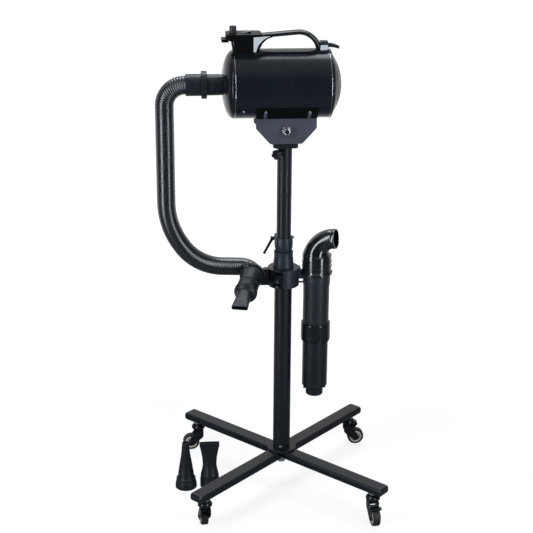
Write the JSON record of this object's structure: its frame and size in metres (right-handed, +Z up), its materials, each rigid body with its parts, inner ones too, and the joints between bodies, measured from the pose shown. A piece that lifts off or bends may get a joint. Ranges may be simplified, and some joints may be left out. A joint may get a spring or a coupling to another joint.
{
  "type": "pet dryer on a wheeled stand",
  "caption": "Cylindrical pet dryer on a height-adjustable caster stand, with a ribbed air hose clipped to the mast, a second air tube with an elbow, and loose nozzles.",
  "frame": {"origin": "on the mast axis at the floor, under the crossing of the foot bars", "axes": "+Z up the mast, +X from the mast toward the hand tube and the dryer's grille, +Y toward the back"},
  "size_m": [0.5613, 0.4976, 1.2063],
  "materials": {
    "black_steel": "satin",
    "gloss_black": "gloss",
    "shell_black": "gloss",
    "matte_black": "matte",
    "slate": "satin",
    "yoke_grey": "satin",
    "zinc": "satin",
    "hose_black": "satin",
    "foam": "matte",
    "motor_grey": "satin",
    "rubber": "matte",
    "wheel": "matte"
  },
  "bodies": {
    "stand": {"long_bar": "black_steel", "short_bars": "black_steel", "bar_end_caps": "gloss_black", "hub_flange": "black_steel", "centre_bolt": "zinc", "lower_mast": "black_steel", "base_screws": "zinc", "clamp_sleeve": "slate", "ball_collar": "slate", "lever_bolt": "zinc", "clip_half": "gloss_black", "tube_half": "gloss_black", "clamp_screws": "zinc", "hose_end_cuff": "slate", "caster_stems": "zinc", "air_hose": "hose_black"},
    "mast": {"upper_mast": "black_steel", "glide_bush": "slate"},
    "lock_lever": {"lock_lever": "gloss_black"},
    "head": {"head_fork": "black_steel", "pivot_bolt": "zinc"},
    "pan_knob": {"pan_knob": "gloss_black"},
    "dryer": {"saddle": "black_steel", "yoke_plates": "yoke_grey", "saddle_bolts": "zinc", "housing_shell": "shell_black", "front_cowl": "gloss_black", "outlet_spigot": "gloss_black", "rear_ring": "gloss_black", "grille": "shell_black", "filter_pad": "foam", "motor": "motor_grey", "motor_mounts": "rubber", "handle": "gloss_black", "control_box": "gloss_black", "gland_block": "slate", "strain_relief": "rubber", "hose_coupler": "slate"},
    "impeller": {"impeller": "slate"},
    "speed_knob": {"speed_knob": "gloss_black"},
    "power_rocker": {"power_rocker": "gloss_black"},
    "hand_tube": {"wide_tube": "matte_black", "coupling_ring": "gloss_black", "lower_tube": "matte_black"},
    "elbow": {"elbow": "gloss_black"},
    "fitted_nozzle": {"fitted_nozzle": "slate"},
    "cone_nozzle": {"cone_nozzle": "matte_black"},
    "spare_flat_nozzle": {"spare_flat_nozzle": "matte_black"},
    "fork_fr": {"fork_fr": "gloss_black"},
    "wheel_fr": {"wheel_fr": "wheel"},
    "fork_rr": {"fork_rr": "gloss_black"},
    "wheel_rr": {"wheel_rr": "wheel"},
    "fork_rl": {"fork_rl": "gloss_black"},
    "wheel_rl": {"wheel_rl": "wheel"},
    "fork_fl": {"fork_fl": "gloss_black"},
    "wheel_fl": {"wheel_fl": "wheel"},
    "pedal_fr": {"pedal_fr": "gloss_black"},
    "pedal_rr": {"pedal_rr": "gloss_black"}
  },
  "joints": [
    {"name": "height_slide", "type": "slide", "parent": "stand", "child": "mast", "axis": [0, 0, 1], "range_m": [-0.1, 0.1], "deforming": ["air_hose"]},
    {"name": "lock_lever_hinge", "type": "hinge", "parent": "stand", "child": "lock_lever", "pos_m": [-0.027, 0.0184, 0.676], "axis": [0, 1, 0], "range_deg": [0, 100]},
    {"name": "pan", "type": "hinge", "parent": "mast", "child": "head", "pos_m": [0, 0, 0.918], "axis": [0, 0, 1], "range_deg": [-45, 45], "deforming": ["air_hose"]},
    {"name": "pan_knob_turn", "type": "hinge", "parent": "mast", "child": "pan_knob", "pos_m": [-0.01096, -0.01428, 0.9032], "axis": [-0.6088, -0.7934, 0], "range_deg": [0, 270]},
    {"name": "tilt", "type": "hinge", "parent": "head", "child": "dryer", "pos_m": [0, 0, 0.963], "axis": [0, 1, 0], "range_deg": [-25, 25], "deforming": ["air_hose"]},
    {"name": "impeller_spin", "type": "hinge", "parent": "dryer", "child": "impeller", "pos_m": [0.0545, 0, 1.068], "axis": [1, 0, 0], "continuous": true},
    {"name": "speed_knob_turn", "type": "hinge", "parent": "dryer", "child": "speed_knob", "pos_m": [-0.1245, 0, 1.19], "axis": [0, 0, -1], "range_deg": [0, 270]},
    {"name": "power_rocker_tip", "type": "hinge", "parent": "dryer", "child": "power_rocker", "pos_m": [-0.0935, 0, 1.187], "axis": [0, 1, 0], "range_deg": [0, 16]},
    {"name": "hand_tube_lift", "type": "slide", "parent": "stand", "child": "hand_tube", "axis": [0, 0, 1], "range_m": [0, 0.095]},
    {"name": "elbow_swivel", "type": "hinge", "parent": "hand_tube", "child": "elbow", "pos_m": [0.0835, 0, 0.59], "axis": [0, 0, 1], "continuous": true},
    {"name": "nozzle_twist", "type": "hinge", "parent": "stand", "child": "fitted_nozzle", "pos_m": [-0.0954, -0.07122, 0.58009], "axis": [-0.2563, -0.9565, -0.1392], "continuous": true},
    {"name": "cone_nozzle_lift", "type": "slide", "parent": "stand", "child": "cone_nozzle", "axis": [0, 0, 1], "range_m": [0, 0.15]},
    {"name": "spare_nozzle_lift", "type": "slide", "parent": "stand", "child": "spare_flat_nozzle", "axis": [0, 0, 1], "range_m": [0, 0.15]},
    {"name": "caster_swivel_fr", "type": "hinge", "parent": "stand", "child": "fork_fr", "pos_m": [0.2093, -0.2093, 0.06], "axis": [0, 0, 1], "continuous": true},
    {"name": "wheel_spin_fr", "type": "hinge", "parent": "fork_fr", "child": "wheel_fr", "pos_m": [0.21209, -0.22911, 0.0225], "axis": [0.9903, 0.1392, 0], "continuous": true},
    {"name": "caster_swivel_rr", "type": "hinge", "parent": "stand", "child": "fork_rr", "pos_m": [0.2093, 0.2093, 0.06], "axis": [0, 0, 1], "continuous": true},
    {"name": "wheel_spin_rr", "type": "hinge", "parent": "fork_rr", "child": "wheel_rr", "pos_m": [0.2293, 0.2093, 0.0225], "axis": [0, 1, 0], "continuous": true},
    {"name": "caster_swivel_rl", "type": "hinge", "parent": "stand", "child": "fork_rl", "pos_m": [-0.2093, 0.2093, 0.06], "axis": [0, 0, 1], "continuous": true},
    {"name": "wheel_spin_rl", "type": "hinge", "parent": "fork_rl", "child": "wheel_rl", "pos_m": [-0.2293, 0.2093, 0.0225], "axis": [0, -1, 0], "continuous": true},
    {"name": "caster_swivel_fl", "type": "hinge", "parent": "stand", "child": "fork_fl", "pos_m": [-0.2093, -0.2093, 0.06], "axis": [0, 0, 1], "continuous": true},
    {"name": "wheel_spin_fl", "type": "hinge", "parent": "fork_fl", "child": "wheel_fl", "pos_m": [-0.21174, -0.18945, 0.0225], "axis": [-0.9925, -0.1219, 0], "continuous": true},
    {"name": "brake_pedal_fr", "type": "hinge", "parent": "fork_fr", "child": "pedal_fr", "pos_m": [0.21042, -0.21723, 0.04635], "axis": [-0.9903, -0.1392, 0], "range_deg": [0, 50]},
    {"name": "brake_pedal_rr", "type": "hinge", "parent": "fork_rr", "child": "pedal_rr", "pos_m": [0.2173, 0.2093, 0.04635], "axis": [0, -1, 0], "range_deg": [-50, 0]}
  ]
}
